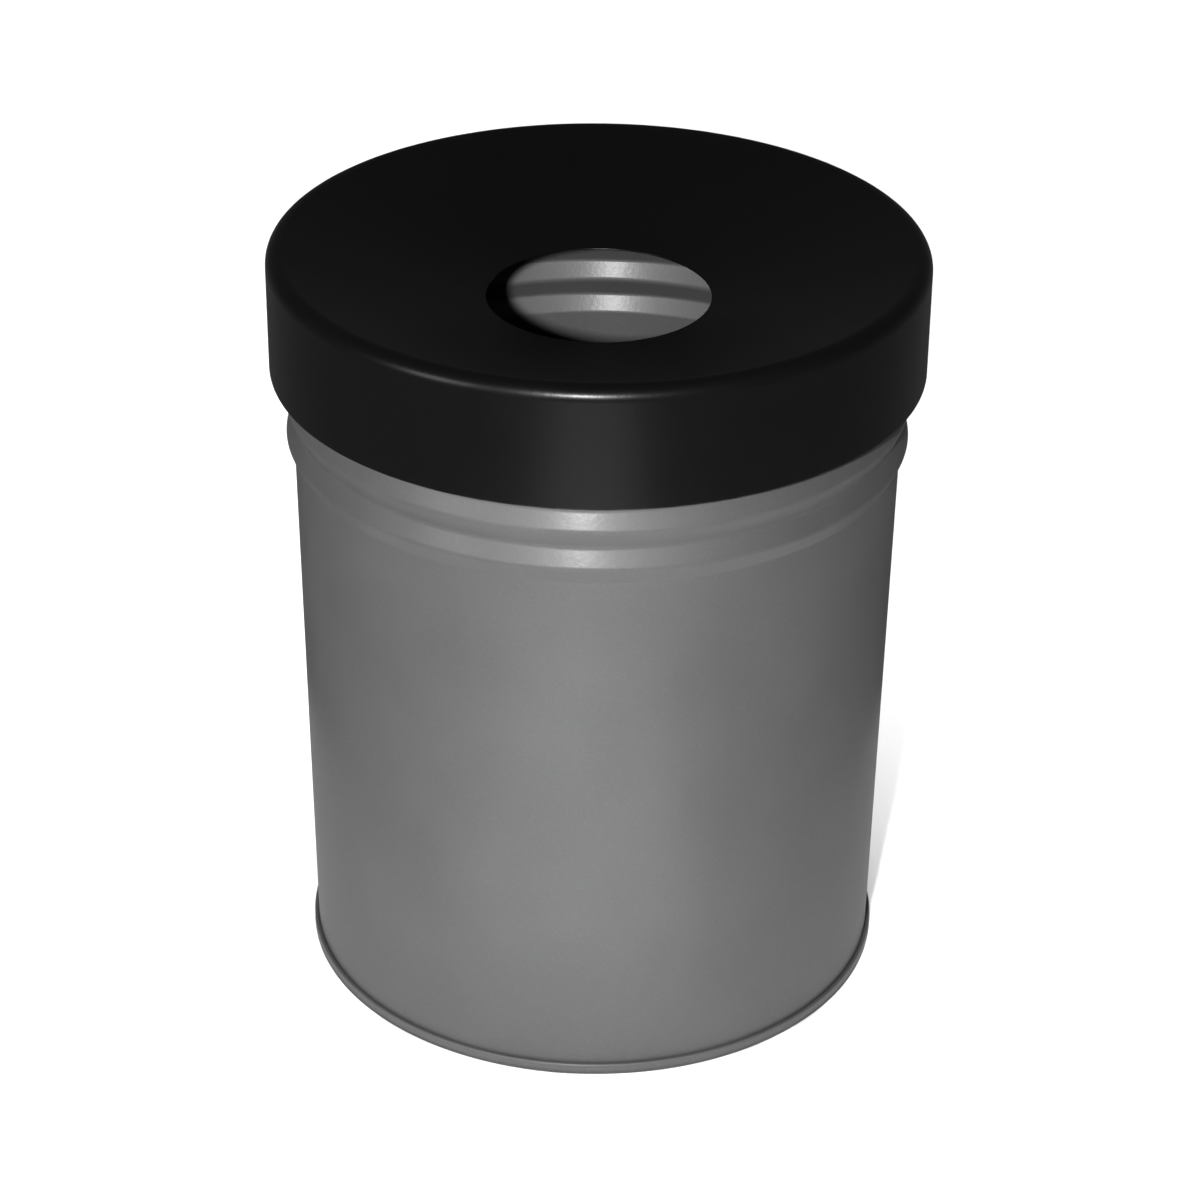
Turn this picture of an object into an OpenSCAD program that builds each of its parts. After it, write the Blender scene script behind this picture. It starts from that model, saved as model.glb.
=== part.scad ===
// Round self-extinguishing waste bin: a tapered sheet-steel body and a lift-off funnel lid.
// The lid's small opening keeps air out and lets smoke choke a fire inside the bin.
// Millimetres, +Z up, origin at the centre of the base on the floor.

/* [Body] */
// Outside radius of the wall at its foot, inside the bottom seam
body_foot_r = 133.5; // [100:0.5:200]
// Outside radius of the wall above the taper
body_neck_r = 137.2; // [104:0.1:204]
// Height of the top of the rolled rim
body_h = 352.5; // [280:0.5:700]
// Thickness of the body and base sheet
sheet_t = 0.6; // [0.4:0.1:0.8]

/* [Beads] */
// Height of the lower bead's crest below the rim
lower_bead_drop = 86.3; // [86.3:0.1:110]
// Height of the upper bead's crest below the rim
upper_bead_drop = 68.5; // [45:0.1:68.5]
// How far a bead stands out of the wall
bead_depth = 3.5; // [2.8:0.05:3.6]
// Half the height of a bead
bead_half_h = 8.85; // [8.5:0.05:8.9]
// Slope of a bead's straight flanks, from upright
bead_flank_a = 25; // [24.5:0.5:34]
// Outside radius of a bead's crest
bead_crest_r = 3.1; // [1.6:0.1:3.4]

/* [Rolled rim] */
// Diameter of the wire inside the rim
wire_d = 6; // [4:0.1:7.5]
// Clearance round the wire
wire_clear = 0.05; // [0.02:0.01:0.15]

/* [Bottom seam and base] */
// Height of the bottom seam
seam_h = 5.6; // [4.5:0.1:9]
// Gap between the folded layers of the seam
seam_gap = 0.1; // [0.05:0.01:0.15]
// Height of the sealing compound at the top of the seam
seal_h = 0.9; // [0.5:0.1:1.2]
// Inside radius of the folds at the seam's lower edge
seam_corner_in_r = 0.4; // [0.3:0.05:0.6]
// Inside radius of the tight folds inside the seam
seam_fold_in_r = 0.2; // [0.1:0.05:0.3]
// Height of the base's middle panel above the floor
panel_z = 10; // [9:0.5:16]
// Radius of the middle panel
panel_r = 108; // [60:1:115]
// Height of the step round the middle panel
panel_step = 2.5; // [1:0.1:3]
// Rounding between the base and its upright wall
pan_corner_r = 2.5; // [1.5:0.1:3]

/* [Lid] */
// Height of the lid from the edge of its skirt to its crest
lid_h = 55.7; // [40:0.1:66]
// Thickness of the lid sheet
lid_t = 0.8; // [0.6:0.1:1.2]
// Gap between the rolled rim and the inside of the skirt
skirt_gap = 2.8; // [2:0.1:6]
// Outside rounding between the skirt and the funnel
lid_rim_r = 6.2; // [4:0.1:7.5]
// Slope of the funnel
funnel_a = 15.2; // [6:0.1:20]
// Radius of the opening
opening_r = 50.3; // [35:0.1:60]
// Height of the folded hem inside the skirt's lower edge
hem_h = 6; // [3:0.5:10]
// Clearance between the lid and the rim that it rests on
seat_clear = 0.3; // [0.1:0.05:0.5]

/* [Locating tabs] */
// Number of tabs under the lid
tab_count = 3; // [3:1:6]
// Width of a tab
tab_w = 16; // [10:1:30]
// Thickness of a tab
tab_t = 1; // [0.8:0.1:2]
// Length of a tab's welded foot
tab_foot = 18; // [10:1:30]
// Height of a tab's leg below the rim
tab_drop = 20; // [12:1:32]
// Clearance between a tab and the mouth of the body
tab_clear = 0.5; // [0.3:0.1:1]
// How far the tip of a tab leans inwards
tab_lead = 3; // [1:0.5:5]

/* [Hidden] */
$fn = 96;
grey_paint = [0.42, 0.42, 0.43];
black_paint = [0.06, 0.06, 0.06];
bare_steel = [0.62, 0.63, 0.65];
grey_compound = [0.30, 0.31, 0.30];
past = 1;           // how far a cutting shape runs past what it cuts
weld_sink = 0.05;   // how far a tab's foot is pressed into the lid
lap = 0.02;         // how far a straight strip runs into the bend at its end

// Bead: straight flanks touch the crest arc and the two fillets, which fixes the sum of the radii
bead_flank = [cos(bead_flank_a), sin(bead_flank_a)];
bead_arc_sum = (bead_half_h * bead_flank.y - bead_depth * bead_flank.x) / (1 - bead_flank.x);
bead_fillet_r = bead_arc_sum - bead_crest_r;
lower_bead_z = body_h - lower_bead_drop;
upper_bead_z = body_h - upper_bead_drop;
taper_top_z = lower_bead_z - bead_half_h - 0.5;

// Rolled rim
mouth_r = body_neck_r - sheet_t;
curl_in_r = wire_d / 2 + wire_clear;
curl_out_r = curl_in_r + sheet_t;
curl_x = mouth_r + curl_out_r;
curl_z = body_h - curl_out_r;
curl_turn = 310;     // how far round the wire the sheet is rolled

// Bottom seam: five layers, from the base's upright wall outwards
chuck_out_x = body_foot_r - sheet_t - seam_gap;
chuck_in_x = chuck_out_x - sheet_t;
base_hook_x = body_foot_r + seam_gap;
body_hook_x = base_hook_x + sheet_t + seam_gap;
seam_out_x = body_hook_x + 2 * sheet_t + seam_gap;
body_turn_z = sheet_t + seam_gap;
base_hook_z = body_turn_z + sheet_t + seam_gap;
body_hook_top = seam_h - sheet_t - seal_h;
leg_z = seam_h / 2;
seam_corner_r = sheet_t + seam_corner_in_r;
seam_fold_r = sheet_t + seam_fold_in_r;
taper_foot_z = seam_h + 1;

// Lid: the funnel's underside lies one seat clearance above the rolled rim
lid_r = curl_x + curl_out_r + skirt_gap + lid_t;
slope = [-sin(funnel_a), cos(funnel_a)];    // square to the funnel's face
along = [cos(funnel_a), sin(funnel_a)];     // up the funnel, outwards
shoulder_x = lid_r - lid_rim_r;
seat_rise = curl_out_r + seat_clear - lid_rim_r + lid_t + sin(funnel_a) * (shoulder_x - curl_x);
shoulder = [shoulder_x, curl_z + seat_rise / cos(funnel_a)];
lid_top = shoulder.y + lid_rim_r;
skirt_z = lid_top - lid_h;
underside = shoulder + (lid_rim_r - lid_t) * slope;

// Height of the funnel's underside at radius x
function under_z(x) = underside.y + (x - underside.x) * tan(funnel_a);

// A strip of sheet bent about c, from angle a0 to angle a1, of outside radius r and thickness t
module bend(c, r, t, a0, a1) {
    translate(c) intersection() {
        difference() {
            circle(r);
            circle(r - t);
        }
        polygon([[0, 0], for (i = [0:4]) let (a = a0 + (a1 - a0) * i / 4) 2 * r * [cos(a), sin(a)]]);
    }
}

// A strip of sheet folded into a U, with its outer faces at x0 and x1 and its floor at height 0
module fold(x0, x1, r) {
    bend([x0 + r, r], r, sheet_t, 180, 270);
    bend([x1 - r, r], r, sheet_t, 270, 360);
    translate([x0 + r, 0]) square([x1 - x0 - 2 * r, sheet_t]);
}

// An upright strip of sheet whose inner face is at x
module upright(x, t, z0, z1) {
    translate([x, z0]) square([t, z1 - z0]);
}

// The area inside a bead's skin, for a skin set in by s; the wall's face is at x = -s
module bead_area(s) {
    high = [bead_depth - bead_crest_r, 0] + (bead_crest_r - s) * bead_flank;
    low = [bead_fillet_r, bead_half_h] - (bead_fillet_r + s) * bead_flank;
    difference() {
        polygon([[-4 * sheet_t, -bead_half_h], [-s, -bead_half_h], [low.x, -low.y], [high.x, -high.y],
                 high, low, [-s, bead_half_h], [-4 * sheet_t, bead_half_h]]);
        for (side = [-1, 1]) translate([bead_fillet_r, side * bead_half_h]) circle(bead_fillet_r + s);
    }
    translate([bead_depth - bead_crest_r, 0]) circle(bead_crest_r - s);
}

// The area inside the wall's skin, for a skin set in by s, from height z0 to the rolled rim
module wall_area(s, z0) {
    polygon([[0, z0], [body_foot_r - s, z0], [body_foot_r - s, taper_foot_z],
             [body_neck_r - s, taper_top_z], [body_neck_r - s, curl_z], [0, curl_z]]);
    for (z = [lower_bead_z, upper_bead_z]) translate([body_neck_r, z]) bead_area(s);
}

// The top of the wall, rolled outwards and down round the wire
module curl_profile() {
    bend([curl_x, curl_z], curl_out_r, sheet_t, 180, 180 - curl_turn);
}

// The foot of the wall, folded outwards and up into the seam
module body_hook_profile() {
    upright(body_foot_r - sheet_t, sheet_t, body_turn_z + seam_fold_r, leg_z);
    translate([0, body_turn_z]) fold(body_foot_r - sheet_t, body_hook_x + sheet_t, seam_fold_r);
    upright(body_hook_x, sheet_t, body_turn_z + seam_fold_r, body_hook_top);
}

module body_shell() {
    color(grey_paint) rotate_extrude() {
        difference() {
            wall_area(0, leg_z);
            wall_area(sheet_t, leg_z - past);
        }
        curl_profile();
        body_hook_profile();
    }
}

module rim_wire() {
    color(bare_steel) rotate_extrude() translate([curl_x, curl_z]) circle(d = wire_d);
}

// The base's middle panel, the step round it and the ring outside that
module panel_profile() {
    ring_z = panel_z - panel_step;
    corner_x = chuck_out_x - pan_corner_r;
    skin = [[0, panel_z], [panel_r, panel_z], [panel_r + panel_step, ring_z], [corner_x + lap, ring_z]];
    polygon(concat(skin, [for (i = [3:-1:0]) skin[i] - [0, sheet_t]]));
}

// The base's rounded edge and upright wall, and the fold that wraps round the foot of the body
module base_edge_profile() {
    corner = [chuck_out_x - pan_corner_r, panel_z - panel_step - pan_corner_r];
    bend(corner, pan_corner_r, sheet_t, 0, 90);
    upright(chuck_in_x, sheet_t, seam_corner_r, corner.y);
    fold(chuck_in_x, seam_out_x, seam_corner_r);
    upright(seam_out_x - sheet_t, sheet_t, seam_corner_r, seam_h - seam_fold_r);
    translate([0, seam_h]) mirror([0, 1]) fold(base_hook_x, seam_out_x, seam_fold_r);
    upright(base_hook_x, sheet_t, base_hook_z, seam_h - seam_fold_r);
}

module base_pan() {
    color(grey_paint) {
        rotate_extrude() panel_profile();
        rotate_extrude() base_edge_profile();
    }
}

module seam_seal() {
    seal_x = base_hook_x + sheet_t;
    seal_w = seam_out_x - sheet_t - seal_x;
    color(grey_compound) rotate_extrude() translate([seal_x, body_hook_top]) square([seal_w, seal_h / 2]);
}

// The skirt's lower edge, folded inwards and up
module hem_profile() {
    translate([lid_r - lid_t, skirt_z + lid_t]) intersection() {
        circle(lid_t);
        translate([-2 * lid_t, -2 * lid_t]) square([4 * lid_t, 2 * lid_t]);
    }
    upright(lid_r - 2 * lid_t, 2 * lid_t, skirt_z + lid_t, skirt_z + hem_h);
}

// The straight funnel, pierced plainly at the opening
module funnel_profile() {
    polygon([[opening_r, under_z(opening_r)], underside + lap * along,
             underside + lid_t * slope + lap * along,
             [opening_r, under_z(opening_r) + lid_t / cos(funnel_a)]]);
}

// The rounded shoulder and the skirt
module skirt_profile() {
    bend(shoulder, lid_rim_r, lid_t, 0, 90 + funnel_a);
    upright(lid_r - lid_t, lid_t, skirt_z + hem_h, shoulder.y);
    hem_profile();
}

module lid_shell() {
    color(black_paint) {
        rotate_extrude() funnel_profile();
        rotate_extrude() skirt_profile();
    }
}

// Locating tab number i: a foot welded under the funnel and a leg inside the body's mouth
module lid_tab(i) {
    out_x = mouth_r - tab_clear;
    in_x = out_x - tab_t;
    end_x = out_x - tab_foot;
    knee_z = body_h - tab_drop + 2 * tab_lead;
    foot_t = tab_t / cos(funnel_a) - weld_sink;
    turn = 360 * tab_w / (2 * PI * out_x);
    color(black_paint) rotate(90 + 360 * (i - 1) / tab_count - turn / 2) rotate_extrude(angle = turn)
        polygon([[out_x, under_z(out_x) + weld_sink], [out_x, knee_z],
                 [out_x - tab_lead, body_h - tab_drop], [in_x - tab_lead, body_h - tab_drop],
                 [in_x, knee_z], [in_x, under_z(in_x) - foot_t],
                 [end_x, under_z(end_x) - foot_t], [end_x, under_z(end_x) + weld_sink]]);
}

body_shell();
rim_wire();
base_pan();
seam_seal();
lid_shell();
for (i = [1:tab_count]) lid_tab(i);
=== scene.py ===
# %% [markdown]
# # A self-extinguishing waste bin
#
# Oily rags go through the small round hole of a funnel-shaped lid. If they catch fire, the smoke
# fills the bin, little air gets in, and the flames choke.
#
# The real bin is sheet steel. A tapered body is rolled, welded, beaded and curled over a wire at
# its rim. Its base is joined on by a double seam, as on a paint pail. The lid is pressed from one
# disc. Both are powder coated: the body a satin metallic grey, the lid black.
#
# Nearly everything here is round, so one idea makes nearly every piece: draw the line that the
# sheet follows in section, give it its thickness, and turn it about the Z axis.

import math

import bpy
import numpy as np
from mathutils import Matrix, Vector


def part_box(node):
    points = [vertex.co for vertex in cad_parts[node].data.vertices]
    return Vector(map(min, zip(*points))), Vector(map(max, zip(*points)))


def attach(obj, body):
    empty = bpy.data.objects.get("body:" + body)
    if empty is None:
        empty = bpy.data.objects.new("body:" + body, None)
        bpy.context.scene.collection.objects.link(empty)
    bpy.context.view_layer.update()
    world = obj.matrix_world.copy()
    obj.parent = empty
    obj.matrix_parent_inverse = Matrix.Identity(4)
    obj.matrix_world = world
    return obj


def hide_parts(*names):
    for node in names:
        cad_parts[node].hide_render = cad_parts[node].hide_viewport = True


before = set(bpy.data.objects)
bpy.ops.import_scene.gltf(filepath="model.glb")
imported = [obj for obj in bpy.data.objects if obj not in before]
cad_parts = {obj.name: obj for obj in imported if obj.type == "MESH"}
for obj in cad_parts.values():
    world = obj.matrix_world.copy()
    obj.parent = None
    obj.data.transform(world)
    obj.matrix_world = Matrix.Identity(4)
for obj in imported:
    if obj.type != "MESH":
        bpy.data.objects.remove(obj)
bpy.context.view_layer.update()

MM = 0.001

# %% [markdown]
# ## Sizes that the pieces share
#
# A node's box gives the height and the greatest radius of a piece, so those are read from the
# frame. What a box can't say, such as the thickness of the sheet or the radius of a bend, is a
# named size here. Steel sheet of 0.6 to 0.8 mm is what bins of this size are made of.

# %% Sizes from the frame and of the sheet
rim_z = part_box("body_shell")[1].z
rim_edge_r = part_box("body_shell")[1].x
seam_edge_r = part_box("base_pan")[1].x
panel_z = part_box("base_pan")[1].z
wire_r = (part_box("rim_wire")[1].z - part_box("rim_wire")[0].z) / 2
lid_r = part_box("lid_shell")[1].x
lid_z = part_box("lid_shell")[1].z
skirt_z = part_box("lid_shell")[0].z

sheet = 0.6 * MM
lid_sheet = 0.8 * MM
seam_gap = 0.1 * MM
seam_h = 5.6 * MM

print(f"rim {rim_z:.4f} high and {rim_edge_r:.4f} in radius; lid {lid_r:.4f} in radius")
print(f"skirt {skirt_z:.4f} to crest {lid_z:.4f}; wire {2 * wire_r:.4f} thick")

# %% [markdown]
# ## Drawing a section
#
# A section could be a long list of points, but a press tool is drawn with straight runs and arcs,
# and that is what these helpers take. `arc` gives points on a circle. `course` joins arcs and
# single points. It puts a holding point close to each end of a long straight run, so that smooth
# shading turns only in the bend, and then divides what is still long.
#
# `sheet_outline` gives the line its thickness. Each point moves half a thickness to the left of
# the line, and half a thickness to the right on the way back. The two cut edges are half circles,
# because powder coat rounds every edge that it covers.

# %% Section helpers
ARC_STEP = 8.0
HOLD = 0.35 * MM
EDGE_POINTS = 5


def arc(centre, radius, start, stop, step=ARC_STEP):
    """Points on a circle: centre + radius (cos a, sin a), with a even from start to stop in degrees."""
    count = max(3, int(math.ceil(abs(stop - start) / step)) + 1)
    angle = np.radians(np.linspace(start, stop, count))
    return np.column_stack([centre[0] + radius * np.cos(angle), centre[1] + radius * np.sin(angle)])


def course(*parts, longest=8 * MM):
    """Arcs and points joined end to end: long runs are held near their ends and cut into equal steps."""
    points = np.vstack([np.atleast_2d(part) for part in parts])
    run = np.linalg.norm(np.diff(points, axis=0), axis=1)
    points = points[np.append(True, run > 1e-6)]
    first, last = points[:-1], points[1:]
    run = np.linalg.norm(last - first, axis=1)[:, None]
    inset = (last - first) / run * HOLD
    trio = np.stack([first, first + inset, last - inset], axis=1)
    long_run = run > 4 * HOLD
    keep = np.hstack([np.ones_like(long_run), long_run, long_run])
    points = np.vstack([trio[keep], points[-1:]])
    run = np.linalg.norm(np.diff(points, axis=0), axis=1)
    steps = np.maximum(1, np.ceil(run / longest)).astype(int)
    origin = np.repeat(np.arange(len(steps)), steps)
    share = (np.arange(steps.sum()) - np.repeat(np.cumsum(steps) - steps, steps)) / steps[origin]
    inner = points[origin] + share[:, None] * (points[origin + 1] - points[origin])
    return np.vstack([inner, points[-1:]])


def headings(line):
    """Unit direction at each point of a line: the mean of those of the runs before and after it."""
    run = np.diff(line, axis=0)
    run = run / np.linalg.norm(run, axis=1)[:, None]
    ahead = np.vstack([run[:1], run[:-1] + run[1:], run[-1:]])
    return ahead / np.linalg.norm(ahead, axis=1)[:, None]


def sheet_outline(line, thickness):
    """Closed outline of bent sheet, line + side * thickness / 2 * left, and side at each of its points:
    +1 on the left face, -1 on the right face and 0 round the two cut edges."""
    ahead = headings(line)
    left = np.column_stack([-ahead[:, 1], ahead[:, 0]])
    half = thickness / 2
    turn = np.radians(np.linspace(90, -90, EDGE_POINTS + 2)[1:-1])[:, None]
    end_cap = line[-1] + half * (np.cos(turn) * ahead[-1] + np.sin(turn) * left[-1])
    start_cap = line[0] - half * (np.cos(turn) * ahead[0] + np.sin(turn) * left[0])
    outline = np.vstack([line + half * left, end_cap, (line - half * left)[::-1], start_cap])
    face, cut = np.ones(len(line)), np.zeros(EDGE_POINTS)
    side = np.concatenate([face, cut, -face, cut])
    return outline, side


print("arc step", ARC_STEP, "degrees; holding points", round(HOLD / MM, 2), "mm in")

# %% [markdown]
# ## Turning a section into a mesh
#
# A closed outline carried round the axis gives a ring with no ends. The base is the exception: its
# outline starts and ends on the axis, so its first and last points become single vertices, and a
# fan of triangles closes each pole.
#
# The grid is worked out as whole arrays. Vertex (i, j) is outline point i turned by angle j:
# (r cos a, r sin a, z). The signed volume of the finished mesh says whether its faces point
# outwards, and if it is negative the faces are turned round.

# %% Mesh helpers
def new_piece(name, points, faces, body, replaced, worn=None):
    """A smooth mesh of points and faces, riding on a body, with the wear at each point as an attribute."""
    mesh = bpy.data.meshes.new(name)
    mesh.from_pydata(points.tolist(), [], faces)
    mesh.validate()
    mesh.polygons.foreach_set("use_smooth", np.ones(len(mesh.polygons), bool))
    if worn is not None:
        layer = mesh.attributes.new("worn", "FLOAT", "POINT")
        layer.data.foreach_set("value", np.asarray(worn, np.float32))
    piece = bpy.data.objects.new(name, mesh)
    bpy.context.scene.collection.objects.link(piece)
    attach(piece, body)
    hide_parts(*replaced)
    print(f"{name}: {len(points)} points, {len(faces)} faces")
    return piece


def ring_faces(rows, columns, wrap_rows):
    """Quads of a grid that is closed across its columns and, if wrap_rows, across its rows too."""
    i = np.arange(rows if wrap_rows else rows - 1)[:, None]
    j = np.arange(columns)[None, :]
    below, beside = (i + 1) % rows, (j + 1) % columns
    corners = [i * columns + j, below * columns + j, below * columns + beside, i * columns + beside]
    return np.stack(np.broadcast_arrays(*corners), axis=-1).reshape(-1, 4)


def signed_volume(points, quads):
    """Volume within closed quads: a sixth of the sum of a . (b x c) over the two triangles of each."""
    a, b, c, d = (points[quads[:, k]] for k in range(4))
    first = np.einsum("ij,ij->i", a, np.cross(b, c))
    second = np.einsum("ij,ij->i", a, np.cross(c, d))
    return (first + second).sum() / 6


def turned(outline, angles, shift=None):
    """Turns an outline about Z: (r cos a, r sin a, z), with r moved by shift(i-column, a-row) in metres."""
    on_axis = outline[0, 0] < 1e-6 and outline[-1, 0] < 1e-6
    rings = outline[1:-1] if on_axis else outline
    radius = np.repeat(rings[:, :1], len(angles), axis=1)
    if shift is not None:
        radius = radius + shift
    height = np.repeat(rings[:, 1:], len(angles), axis=1)
    points = np.stack([radius * np.cos(angles), radius * np.sin(angles), height], axis=-1).reshape(-1, 3)
    quads = ring_faces(len(rings), len(angles), not on_axis)
    if not on_axis:
        if signed_volume(points, quads) < 0:
            quads = quads[:, ::-1]
        return points, quads.tolist()
    top, bottom = len(points), len(points) + 1
    points = np.vstack([points, [0, 0, outline[0, 1]], [0, 0, outline[-1, 1]]])
    j = np.arange(len(angles))
    beside = (j + 1) % len(angles)
    last = (len(rings) - 1) * len(angles)
    top_fan = np.column_stack([np.full_like(j, top), j, beside])
    bottom_fan = np.column_stack([np.full_like(j, bottom), last + beside, last + j])
    return points, quads.tolist() + top_fan.tolist() + bottom_fan.tolist()


print("mesh helpers ready")

# %% [markdown]
# ## The body
#
# The body starts as a flat blank, rolled into a tube and butt welded. It is stretched into a
# slight taper, so that bins nest in a stack before their lids go on. Two beads rolled near the top
# stiffen the mouth, and the edge is curled over a wire so that nobody is cut by it. At the foot
# the sheet is folded out and up into the bottom seam.
#
# Its section is one line of bent sheet, from the fold at the foot to the end of the curl. A bead
# is a fillet, the crest and a fillet, joined smoothly by straight flanks. The two beads touch, so
# the light moves over them as over one soft double wave.

# %% The body's section line
foot_r = 133.5 * MM - sheet / 2
neck_r = 137.2 * MM - sheet / 2
upper_bead_z = rim_z - 68.5 * MM
lower_bead_z = rim_z - 86.3 * MM
bead_half_h = 8.85 * MM
bead_depth = 3.5 * MM
BEAD_FLANK = 25.0
crest_bend = 3.1 * MM - sheet / 2
curl_bend = wire_r + 0.05 * MM + sheet / 2
curl_x = rim_edge_r - curl_bend - sheet / 2
curl_z = rim_z - curl_bend - sheet / 2
fold_bend = 0.5 * MM
CURL_TURN = 310

flank_cos, flank_sin = math.cos(math.radians(BEAD_FLANK)), math.sin(math.radians(BEAD_FLANK))
bend_sum = (bead_half_h * flank_sin - bead_depth * flank_cos) / (1 - flank_cos)
fillet_bend = bend_sum - crest_bend


def bead(z):
    """A fillet, a straight flank, the crest, a flank and a fillet, from below to above: arcs through the
    flank's slope, whose radii add up to (half height sin a - depth cos a) / (1 - cos a)."""
    fillet_x = neck_r + fillet_bend
    crest_x = neck_r + bead_depth - crest_bend
    low_fillet = arc((fillet_x, z - bead_half_h), fillet_bend, 180, 180 - BEAD_FLANK, 3)
    crest = arc((crest_x, z), crest_bend, -BEAD_FLANK, BEAD_FLANK, 3)
    high_fillet = arc((fillet_x, z + bead_half_h), fillet_bend, 180 + BEAD_FLANK, 180, 3)
    return np.vstack([low_fillet, crest, high_fillet])


hook_x = foot_r + 2 * (sheet + seam_gap)
fold_z = 1.5 * sheet + seam_gap + fold_bend
body_line = course(
    (hook_x, seam_h - 1.5 * MM),
    arc((hook_x - fold_bend, fold_z), fold_bend, 0, -90, 15),
    arc((foot_r + fold_bend, fold_z), fold_bend, 270, 180, 15),
    (foot_r, seam_h + 1 * MM),
    (neck_r, lower_bead_z - bead_half_h - 0.5 * MM),
    bead(lower_bead_z),
    bead(upper_bead_z),
    arc((curl_x, curl_z), curl_bend, 180, 180 - CURL_TURN, 10),
    longest=12 * MM,
)
print(f"bead: radii {crest_bend / MM:.2f} and {fillet_bend / MM:.2f} mm; line of {len(body_line)} points")

# %% [markdown]
# The weld is dressed before coating, but a low ridge can still be felt through the paint. It runs
# down the back of the bin. Angles are closer together there, so that the ridge is real geometry
# and not a bump in the paint. The rolled tube is never quite round either: a few hundredths of a
# millimetre of slow waviness bends the reflections as they bend on real sheet.

# %% The body as a mesh
ROUND = 240
WELD_ANGLE = 58.0
weld_half_w = 1.5 * MM
weld_rise = 0.14 * MM
weld_reach = 3
weld_columns = 19
waviness = 0.10 * MM
rim_wear_h = 1.2 * MM


def body_angles():
    """Even angles all round, with closer ones across the weld."""
    even = np.linspace(0, 2 * math.pi, ROUND, endpoint=False)
    weld = math.radians(WELD_ANGLE)
    across = weld + np.linspace(-weld_reach, weld_reach, weld_columns) * weld_half_w / neck_r
    clear = np.abs(even - weld) > (weld_reach + 0.2) * weld_half_w / neck_r
    return np.sort(np.concatenate([even[clear], across]))


def body_shift(outline, side, angles):
    """Radius change: three slow waves round and up the wall, and a bell-shaped ridge along the weld."""
    z = outline[:, 1:] / rim_z
    oval = 0.5 * np.sin(2 * angles + 0.6)
    twist = 0.3 * np.sin(5 * angles + 4 * z) + 0.2 * np.sin(9 * angles - 7 * z)
    slow = oval + twist
    fade = np.sin(np.clip(z, 0, 1) * math.pi)
    across = (angles - math.radians(WELD_ANGLE)) * neck_r / weld_half_w
    return waviness * fade * slow - side[:, None] * weld_rise * np.exp(-(across**2))


body_outline, body_side = sheet_outline(body_line, sheet)
angles = body_angles()
points, faces = turned(body_outline, angles, body_shift(body_outline, body_side, angles))
rim_wear = np.exp(-(((body_outline[:, 1] - rim_z) / rim_wear_h) ** 2))
bin_body = new_piece(
    "bin_body", points, faces, "bin", ["body_shell"], np.repeat(rim_wear, len(angles))
)

# %% [markdown]
# ## The base
#
# The base is pressed with a raised panel in the middle, which stops it from drumming, and stands
# a few millimetres off the floor. Its edge wraps down, out and up round the foot of the body, and
# then over and down inside the body's own fold. Rolled flat, the five layers make the double seam
# that the bin stands on: the narrow band seen at its foot.

# %% The base as a mesh
panel_r = 108 * MM
panel_step = 2.5 * MM
pan_corner = 2.5 * MM - sheet / 2
step_bend = 1.5 * MM
step_inset = 0.6 * MM
lower_bend = 0.7 * MM
stand_wear_h = 0.5 * MM
wall_x = foot_r - sheet - seam_gap
seam_x = seam_edge_r - sheet / 2
hem_x = foot_r + sheet + seam_gap
ring_z = panel_z - sheet / 2 - panel_step
middle_z = panel_z - sheet / 2

pan_line = course(
    (0.0, middle_z),
    arc((panel_r - step_inset, middle_z - step_bend), step_bend, 90, 45, 9),
    arc((panel_r + panel_step + step_inset, ring_z + step_bend), step_bend, 225, 270, 9),
    arc((wall_x - pan_corner, ring_z - pan_corner), pan_corner, 90, 0),
    arc((wall_x + lower_bend, lower_bend + sheet / 2), lower_bend, 180, 270, 15),
    arc((seam_x - lower_bend, lower_bend + sheet / 2), lower_bend, 270, 360, 15),
    arc((seam_x - fold_bend, seam_h - sheet / 2 - fold_bend), fold_bend, 0, 90, 15),
    arc((hem_x + fold_bend, seam_h - sheet / 2 - fold_bend), fold_bend, 90, 180, 15),
    (hem_x, 1.5 * MM),
)
pan_outline, pan_side = sheet_outline(pan_line, sheet)
pan_outline = pan_outline[: -np.count_nonzero(pan_side == 0) // 2]
pan_outline[0, 0] = pan_outline[-1, 0] = 0
pan_angles = np.linspace(0, 2 * math.pi, ROUND, endpoint=False)
points, faces = turned(pan_outline, pan_angles)
stand_wear = np.exp(-((pan_outline[:, 1] / stand_wear_h) ** 2)) * (pan_outline[:, 0] > wall_x)
stand_wear = np.append(np.repeat(stand_wear[1:-1], ROUND), [0, 0])
bin_base = new_piece("bin_base", points, faces, "bin", ["base_pan"], stand_wear)
print(f"base panel {middle_z / MM:.1f} mm up; seam {seam_h / MM:.1f} mm high")

# %% [markdown]
# ## The lid
#
# One disc of steel makes the lid. A press draws the deep skirt, dishes the top into a shallow
# funnel and pierces the hole, whose plain edge is only rounded by the paint. The skirt's lower
# edge is folded back on itself inside, which stiffens it and hides the cut.
#
# From the outside in, the section is a flat hem, the skirt, a generous shoulder and the straight
# funnel. The funnel leaves the shoulder exactly where the bend's radius stands square to it, so
# one formula gives the height of its middle line and of its underside.

# %% The lid as a mesh
FUNNEL_SLOPE = 15.2
shoulder_bend = 6.2 * MM - lid_sheet / 2
opening_r = 50.3 * MM
hem_h = 6 * MM
hem_bend = lid_sheet / 2 + 0.04 * MM
skirt_waviness = 0.12 * MM
skirt_wear_h = 0.6 * MM

slope = math.radians(FUNNEL_SLOPE)
skirt_x = lid_r - lid_sheet / 2
shoulder_x = skirt_x - shoulder_bend
shoulder_z = lid_z - lid_sheet / 2 - shoulder_bend
edge_x = opening_r + lid_sheet / 2
hem_z = skirt_z + lid_sheet / 2 + hem_bend


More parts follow.
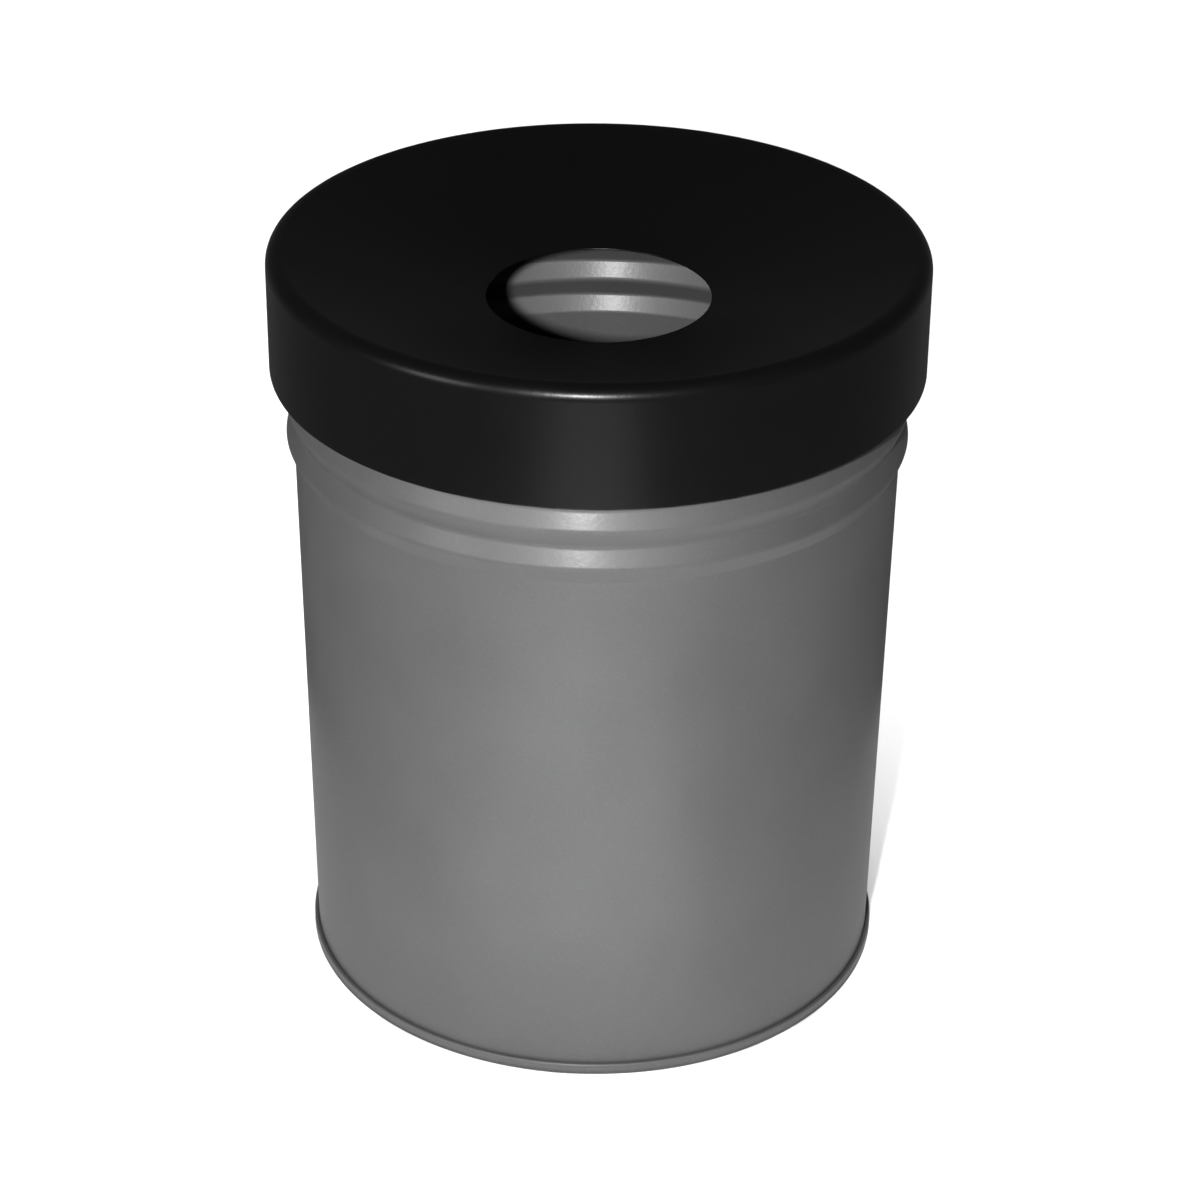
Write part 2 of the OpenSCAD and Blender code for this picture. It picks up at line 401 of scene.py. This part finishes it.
def funnel_z(x, bend):
    """Height at radius x of the slope that touches a bend about the shoulder's centre:
    z + bend cos(slope) where the two touch, and tan(slope) times the way in less than that."""
    touch_x = shoulder_x - bend * math.sin(slope)
    touch_z = shoulder_z + bend * math.cos(slope)
    return touch_z - (touch_x - x) * math.tan(slope)


lid_line = course(
    (skirt_x - 2 * hem_bend, skirt_z + hem_h),
    arc((skirt_x - hem_bend, hem_z), hem_bend, 180, 360, 18),
    arc((shoulder_x, shoulder_z), shoulder_bend, 0, 90 + FUNNEL_SLOPE, 4),
    (edge_x, funnel_z(edge_x, shoulder_bend)),
)
lid_outline = sheet_outline(lid_line, lid_sheet)[0]
lid_angles = np.linspace(0, 2 * math.pi, ROUND, endpoint=False)


def lid_shift(outline, angles):
    """Radius change: slow waves that grow down the skirt, where the pressed sheet is least held."""
    low = np.clip((shoulder_z - outline[:, 1:]) / (shoulder_z - skirt_z), 0, 1)
    skirt = low * (outline[:, :1] > shoulder_x)
    return skirt_waviness * skirt * (0.6 * np.sin(3 * angles + 1.1) + 0.4 * np.sin(7 * angles))


points, faces = turned(lid_outline, lid_angles, lid_shift(lid_outline, lid_angles))
skirt_wear = np.exp(-(((lid_outline[:, 1] - skirt_z) / skirt_wear_h) ** 2))
lid_top = new_piece(
    "funnel_lid", points, faces, "lid", ["lid_shell"], np.repeat(skirt_wear, ROUND)
)
fall = lid_z - funnel_z(edge_x, shoulder_bend)
print(f"funnel falls {fall / MM:.1f} mm to a hole {2 * opening_r / MM:.1f} mm across")

# %% [markdown]
# ## The locating tabs
#
# Three bent straps are spot welded under the funnel. Their legs hang inside the mouth of the body
# and keep the lid central, and each tip leans inwards so that the lid finds its place.
#
# A strap is a rounded rectangle carried along a bent line. Its free end is rounded by making the
# rectangle narrower, as a quarter circle, over the last millimetres. Two shallow dimples in the
# foot are the marks of the welding tips.

# %% The tabs as meshes
tab_w = 16 * MM
tab_t = 1.0 * MM
tab_bend = 2.0 * MM
tab_corner = 4.0 * MM
tab_foot = 18 * MM
TAB_COUNT = 3
tab_knee_h = 6 * MM
tab_lead = 3 * MM
tab_slack = 0.01 * MM
tab_columns = 72
squareness = 12
dimple_places = np.array([5.0, 12.0]) * MM
dimple_r = 2.4 * MM
dimple_depth = 0.25 * MM

tab_low, tab_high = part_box("lid_tab_1")
tab_out = tab_high.y - tab_t / 2
knee_z = tab_low.z + tab_knee_h
lead_x = tab_out - tab_lead

inner_bend = shoulder_bend - lid_sheet / 2
gap = tab_t / 2 / math.cos(slope) + tab_slack
bend_x = tab_out - tab_bend
bend_z = funnel_z(bend_x, inner_bend) - gap - tab_bend / math.cos(slope)
foot_x = tab_out + tab_t / 2 - tab_foot
tab_line = course(
    (foot_x, funnel_z(foot_x, inner_bend) - gap),
    arc((bend_x, bend_z), tab_bend, 90 + FUNNEL_SLOPE, 0, 10),
    (tab_out, knee_z),
    (lead_x, tab_low.z),
    longest=0.7 * MM,
)


def strap(line, width, thickness, centre_angle):
    """Rounded rectangle (u, v) carried along a line: radius and height move by v along the left normal,
    and the angle by u / tab_out. Ends narrow as quarter circles, and close in a point."""
    ahead = headings(line)
    left = np.column_stack([-ahead[:, 1], ahead[:, 0]])
    along = np.append(0, np.cumsum(np.linalg.norm(np.diff(line, axis=0), axis=1)))
    to_end = np.clip(np.minimum(along, along[-1] - along), 0, tab_corner)
    narrow = tab_corner - np.sqrt(tab_corner**2 - (tab_corner - to_end) ** 2)
    half_w = width / 2 - narrow * 0.98
    turn = np.linspace(0, 2 * math.pi, tab_columns, endpoint=False)
    reach = np.abs(np.cos(turn)) ** squareness + np.abs(np.sin(turn)) ** squareness
    squarish = reach ** (-1 / squareness)
    u = half_w[:, None] * np.cos(turn) * squarish
    v = np.ones_like(half_w)[:, None] * thickness / 2 * np.sin(turn) * squarish
    from_spot = np.hypot(u[..., None], along[:, None, None] - dimple_places)
    dimple = np.exp(-((from_spot / dimple_r) ** 4)).sum(-1)
    v = np.where(v < 0, v + dimple_depth * dimple, v)
    radius = line[:, :1] + v * left[:, :1]
    height = line[:, 1:] + v * left[:, 1:]
    angle = centre_angle + u / tab_out
    return np.stack([radius * np.cos(angle), radius * np.sin(angle), height], axis=-1)


def closed_tube(grid):
    """Faces of a tube closed round its columns, with a fan to a middle point at each end."""
    rows, columns = grid.shape[:2]
    points = grid.reshape(-1, 3)
    quads = ring_faces(rows, columns, False)
    start, stop = len(points), len(points) + 1
    points = np.vstack([points, grid[0].mean(0), grid[-1].mean(0)])
    j = np.arange(columns)
    beside = (j + 1) % columns
    last = (rows - 1) * columns
    first_fan = np.column_stack([np.full_like(j, start), j, beside])
    last_fan = np.column_stack([np.full_like(j, stop), last + beside, last + j])
    return points, quads, first_fan, last_fan


tabs = []
for number in range(1, TAB_COUNT + 1):
    centre_angle = math.radians(90 + 360 * (number - 1) / TAB_COUNT)
    points, quads, first_fan, last_fan = closed_tube(strap(tab_line, tab_w, tab_t, centre_angle))
    faces = quads.tolist() + first_fan.tolist() + last_fan.tolist()
    tabs.append(
        new_piece(f"locating_tab_{number}", points, faces, "lid", [f"lid_tab_{number}"])
    )

# %% [markdown]
# ## Powder coat
#
# Powder coat is plastic dust that is melted onto the steel. Seen close, it has three scales: slow
# changes in gloss over a few centimetres, orange peel about two millimetres across, and a fine
# grain. The grey one also holds metal flakes, which make it fade quickly away from the light and
# sparkle a little, under a thin clear skin. Handled edges wear in patches to a lighter grey.
#
# Each scale is one noise texture on Object coordinates, so the pattern stays with the piece. The
# bump is small: the real relief is a few hundredths of a millimetre.

# %% Material helpers
def add(tree, kind, place, **inputs):
    """A node with its inputs set by name."""
    node = tree.nodes.new(kind)
    node.location = place
    for name, value in inputs.items():
        node.inputs[name.replace("_", " ")].default_value = value
    return node


def noise(tree, vector, scale, place, detail=2.0):
    """Noise with features about 1 / scale metres apart."""
    node = add(tree, "ShaderNodeTexNoise", place, Scale=scale, Detail=detail)
    tree.links.new(vector, node.inputs["Vector"])
    return node.outputs["Fac"]


def spread(tree, value, low, high, to_low, to_high, place):
    """Maps low..high to to_low..to_high, and holds it within those."""
    node = add(tree, "ShaderNodeMapRange", place)
    for name, number in zip(("From Min", "From Max", "To Min", "To Max"), (low, high, to_low, to_high)):
        node.inputs[name].default_value = number
    tree.links.new(value, node.inputs["Value"])
    return node.outputs["Result"]


def blend_colours(tree, share, first, second, place):
    """Mixes two colours, or two outputs, by share."""
    node = tree.nodes.new("ShaderNodeMix")
    node.data_type = "RGBA"
    node.location = place
    tree.links.new(share, node.inputs["Factor"])
    for socket, colour in ((node.inputs[6], first), (node.inputs[7], second)):
        if isinstance(colour, tuple):
            socket.default_value = (*colour, 1)
        else:
            tree.links.new(colour, socket)
    return node.outputs[2]


def relief(tree, heights, place):
    """Bump nodes in a chain: each adds one height field, with its own depth in metres."""
    normal = None
    for number, (height, depth) in enumerate(heights):
        node = add(tree, "ShaderNodeBump", (place[0] + 180 * number, place[1]), Strength=1.0, Distance=depth)
        tree.links.new(height, node.inputs["Height"])
        if normal is not None:
            tree.links.new(normal, node.inputs["Normal"])
        normal = node.outputs["Normal"]
    return normal


def start_material(name, metallic, specular):
    """A new material: its node tree, its shader with constants set, and the Object coordinates."""
    material = bpy.data.materials.new(name)
    material.use_nodes = True
    tree = material.node_tree
    shader = tree.nodes["Principled BSDF"]
    shader.inputs["Metallic"].default_value = metallic
    shader.inputs["Specular IOR Level"].default_value = specular
    place = add(tree, "ShaderNodeTexCoord", (-1400, 0)).outputs["Object"]
    return material, tree, shader, place


SLOW_SCALE = 22
PEEL_SCALE = 480
GRAIN_SCALE = 2600
FLAKE_SCALE = 3400
WEAR_SCALE = 160
slow_depth = 0.25 * MM
peel_depth = 0.035 * MM
grain_depth = 0.012 * MM


def powder_coat(name, colour, worn_colour, metallic, specular, gloss, flakes, clear):
    """Powder coat: gloss is (low, high) roughness, flakes how much a flake lightens the colour,
    and clear the weight and roughness of the clear layer on top."""
    material, tree, shader, place = start_material(name, metallic, specular)
    shader.inputs["Coat Weight"].default_value = clear[0]
    shader.inputs["Coat Roughness"].default_value = clear[1]
    slow = noise(tree, place, SLOW_SCALE, (-1150, 300), 3)
    peel = noise(tree, place, PEEL_SCALE, (-1150, 0), 1)
    grain = noise(tree, place, GRAIN_SCALE, (-1150, -300), 2)
    worn = add(tree, "ShaderNodeAttribute", (-1150, 520))
    worn.attribute_name = "worn"
    patches = noise(tree, place, WEAR_SCALE, (-1150, 760))
    patch = spread(tree, patches, 0.42, 0.62, 0, 1, (-950, 760))
    rubbed = add(tree, "ShaderNodeMath", (-760, 560))
    rubbed.operation = "MULTIPLY"
    tree.links.new(worn.outputs["Fac"], rubbed.inputs[0])
    tree.links.new(patch, rubbed.inputs[1])
    cells = add(tree, "ShaderNodeTexVoronoi", (-1150, -560), Scale=FLAKE_SCALE)
    tree.links.new(place, cells.inputs["Vector"])
    flake = spread(tree, cells.outputs["Color"], 0.7, 1.0, 0, flakes, (-950, -560))
    slow_share = spread(tree, slow, 0.35, 0.65, 0, 1, (-950, 300))
    paler = tuple(min(1, part * 1.07) for part in colour)
    base = blend_colours(tree, slow_share, colour, paler, (-700, 300))
    base = blend_colours(tree, flake, base, (0.85, 0.86, 0.88), (-500, 200))
    base = blend_colours(tree, rubbed.outputs[0], base, worn_colour, (-300, 300))
    tree.links.new(base, shader.inputs["Base Color"])
    rough = spread(tree, slow, 0.3, 0.7, gloss[0], gloss[1], (-700, -100))
    tree.links.new(rough, shader.inputs["Roughness"])
    normal = relief(tree, [(slow, slow_depth), (peel, peel_depth), (grain, grain_depth)], (-700, -350))
    tree.links.new(normal, shader.inputs["Normal"])
    tree.links.new(normal, shader.inputs["Coat Normal"])
    return material


def cover(piece, material):
    """Puts one material on every face of a piece."""
    piece.data.materials.clear()
    piece.data.materials.append(material)


print("material helpers ready")

# %% The two coats
grey_coat = powder_coat(
    "satin grey coat",
    colour=(0.13, 0.13, 0.132),
    worn_colour=(0.36, 0.36, 0.36),
    metallic=0.5,
    specular=0.3,
    gloss=(0.58, 0.64),
    flakes=0.06,
    clear=(0.25, 0.26),
)
black_coat = powder_coat(
    "satin black coat",
    colour=(0.003, 0.003, 0.0032),
    worn_colour=(0.035, 0.035, 0.035),
    metallic=0.0,
    specular=0.30,
    gloss=(0.28, 0.33),
    flakes=0.0,
    clear=(0.0, 0.25),
)
for piece in (bin_body, bin_base):
    cover(piece, grey_coat)
for piece in (lid_top, *tabs):
    cover(piece, black_coat)
print("coated", bin_body.name, bin_base.name, lid_top.name, len(tabs), "tabs")

# %% [markdown]
# ## Wire and sealing compound
#
# Inside the curl lies bare drawn wire, with fine lines along its length and a trace of oxide. In
# the seam there is a bead of dark compound. Both show only through narrow gaps, so the CAD shapes
# stay, and each gets its own finish.

# %% Wire and compound finishes
def drawn_wire():
    """Bright steel with soft darker patches and a fine even grain in its surface."""
    material, tree, shader, place = start_material("drawn wire", 1.0, 0.5)
    patch = spread(tree, noise(tree, place, 90, (-1150, 200), 4), 0.35, 0.7, 0, 1, (-900, 200))
    base = blend_colours(tree, patch, (0.56, 0.56, 0.57), (0.36, 0.35, 0.34), (-600, 200))
    tree.links.new(base, shader.inputs["Base Color"])
    rough = spread(tree, patch, 0, 1, 0.25, 0.45, (-600, -50))
    tree.links.new(rough, shader.inputs["Roughness"])
    fine = noise(tree, place, 3000, (-1150, -300), 1)
    tree.links.new(relief(tree, [(fine, 0.01 * MM)], (-600, -300)), shader.inputs["Normal"])
    return material


def compound():
    """Matt dark compound with a lumpy skin."""
    material, tree, shader, place = start_material("sealing compound", 0.0, 0.3)
    lumps = noise(tree, place, 420, (-1150, 0), 3)
    base = blend_colours(tree, lumps, (0.07, 0.075, 0.07), (0.14, 0.145, 0.14), (-600, 200))
    tree.links.new(base, shader.inputs["Base Color"])
    rough = spread(tree, lumps, 0.3, 0.7, 0.6, 0.85, (-600, -50))
    tree.links.new(rough, shader.inputs["Roughness"])
    tree.links.new(relief(tree, [(lumps, 0.1 * MM)], (-600, -300)), shader.inputs["Normal"])
    return material


cover(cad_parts["rim_wire"], drawn_wire())
cover(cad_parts["seam_seal"], compound())
print("rim_wire and seam_seal keep their CAD shapes")

# %% [markdown]
# ## Floor, camera and light
#
# The bin stands on a plain pale floor. A small lamp close to the left of the lens gives the bright
# line on the lid's shoulder and the shine inside the hole. A long pale card on the floor in front
# is mirrored in the wall and the skirt as a soft column of light. A round card under the bin
# brightens its foot, and a soft fill lifts the left side.
#
# The floor has a lamp of its own, which is linked to the floor alone. The floor itself is kept out
# of mirror rays, so the black lid stays black however white the floor is.

# %% Floor
FLOOR_HALF = 4.0
floor_mesh = bpy.data.meshes.new("floor")
corners = [(-FLOOR_HALF, -FLOOR_HALF, 0), (FLOOR_HALF, -FLOOR_HALF, 0)]
corners += [(FLOOR_HALF, FLOOR_HALF, 0), (-FLOOR_HALF, FLOOR_HALF, 0)]
floor_mesh.from_pydata(corners, [], [(0, 1, 2, 3)])
floor = bpy.data.objects.new("floor", floor_mesh)
bpy.context.scene.collection.objects.link(floor)
material, tree, shader, place = start_material("pale floor", 0.0, 0.2)
cloud = noise(tree, place, 3, (-1150, 0), 3)
base = blend_colours(tree, cloud, (0.80, 0.80, 0.80), (0.84, 0.84, 0.84), (-600, 200))
tree.links.new(base, shader.inputs["Base Color"])
shader.inputs["Roughness"].default_value = 0.8
cover(floor, material)
print("floor", 2 * FLOOR_HALF, "m across")

# %% Camera
CAMERA_PLACE = Vector((0.0, -1.438, 0.982))
PITCH_DOWN = 29.36
YAW = -0.083
ROLL = 0.643
camera_data = bpy.data.cameras.new("camera")
camera_data.lens = 106.0
camera_data.sensor_width = 36.0
camera = bpy.data.objects.new("camera", camera_data)
bpy.context.scene.collection.objects.link(camera)
turn_up = Matrix.Rotation(math.radians(90 - PITCH_DOWN), 4, "X")
turn_side = Matrix.Rotation(math.radians(YAW), 4, "Z")
lean = Matrix.Rotation(math.radians(ROLL), 4, "Z")
camera.matrix_world = Matrix.Translation(CAMERA_PLACE) @ turn_side @ turn_up @ lean
bpy.context.scene.camera = camera
print("camera", tuple(round(part, 3) for part in CAMERA_PLACE), "lens", camera_data.lens)


# %% Lights
def panel(name, place, aim, size, watts, spread_angle=180.0):
    """A square or oblong panel of light at place, facing aim; spread_angle shades its sides."""
    data = bpy.data.lights.new(name, "AREA")
    data.shape = "RECTANGLE"
    data.size, data.size_y = size
    data.energy = watts
    data.spread = math.radians(spread_angle)
    light = bpy.data.objects.new(name, data)
    bpy.context.scene.collection.objects.link(light)
    facing = Vector(aim) - Vector(place)
    light.matrix_world = Matrix.Translation(place) @ facing.to_track_quat("-Z", "Y").to_matrix().to_4x4()
    return light


middle = (0, 0, 0.2)
panel("lamp by the lens", (-0.13, -1.43, 0.97), middle, (0.05, 0.05), 27)
panel("left fill", (-1.3, -1.0, 0.9), middle, (0.6, 0.6), 6)
panel("front card", (-0.02, -0.62, 0.003), (-0.02, -0.62, 1), (0.34, 0.80), 1.05)
panel("near card", (0, 0, 0.002), (0, 0, 1), (0.56, 0.56), 0.42)
bpy.data.lights["near card"].shape = "DISK"
for name in ("front card", "near card"):
    bpy.data.objects[name].visible_camera = False
panel("floor light", (0.0, 0.3, 3.0), (0, 0.3, 0), (2.4, 2.4), 140)
floor_only = bpy.data.collections.new("floor only")
floor_only.objects.link(floor)
bpy.data.objects["floor light"].light_linking.receiver_collection = floor_only
floor.visible_glossy = False

world = bpy.data.worlds.new("studio")
world.use_nodes = True
tree = world.node_tree
direction = add(tree, "ShaderNodeTexCoord", (-900, 0)).outputs["Generated"]
height = tree.nodes.new("ShaderNodeSeparateXYZ")
height.location = (-700, 0)
tree.links.new(direction, height.inputs[0])
share = spread(tree, height.outputs["Z"], -0.1, 0.1, 0, 1, (-500, 0))
sky = blend_colours(tree, share, (0.10, 0.10, 0.10), (0.055, 0.055, 0.055), (-250, 0))
tree.links.new(sky, tree.nodes["Background"].inputs["Color"])
bpy.context.scene.world = world
bpy.context.scene.view_settings.view_transform = "Standard"
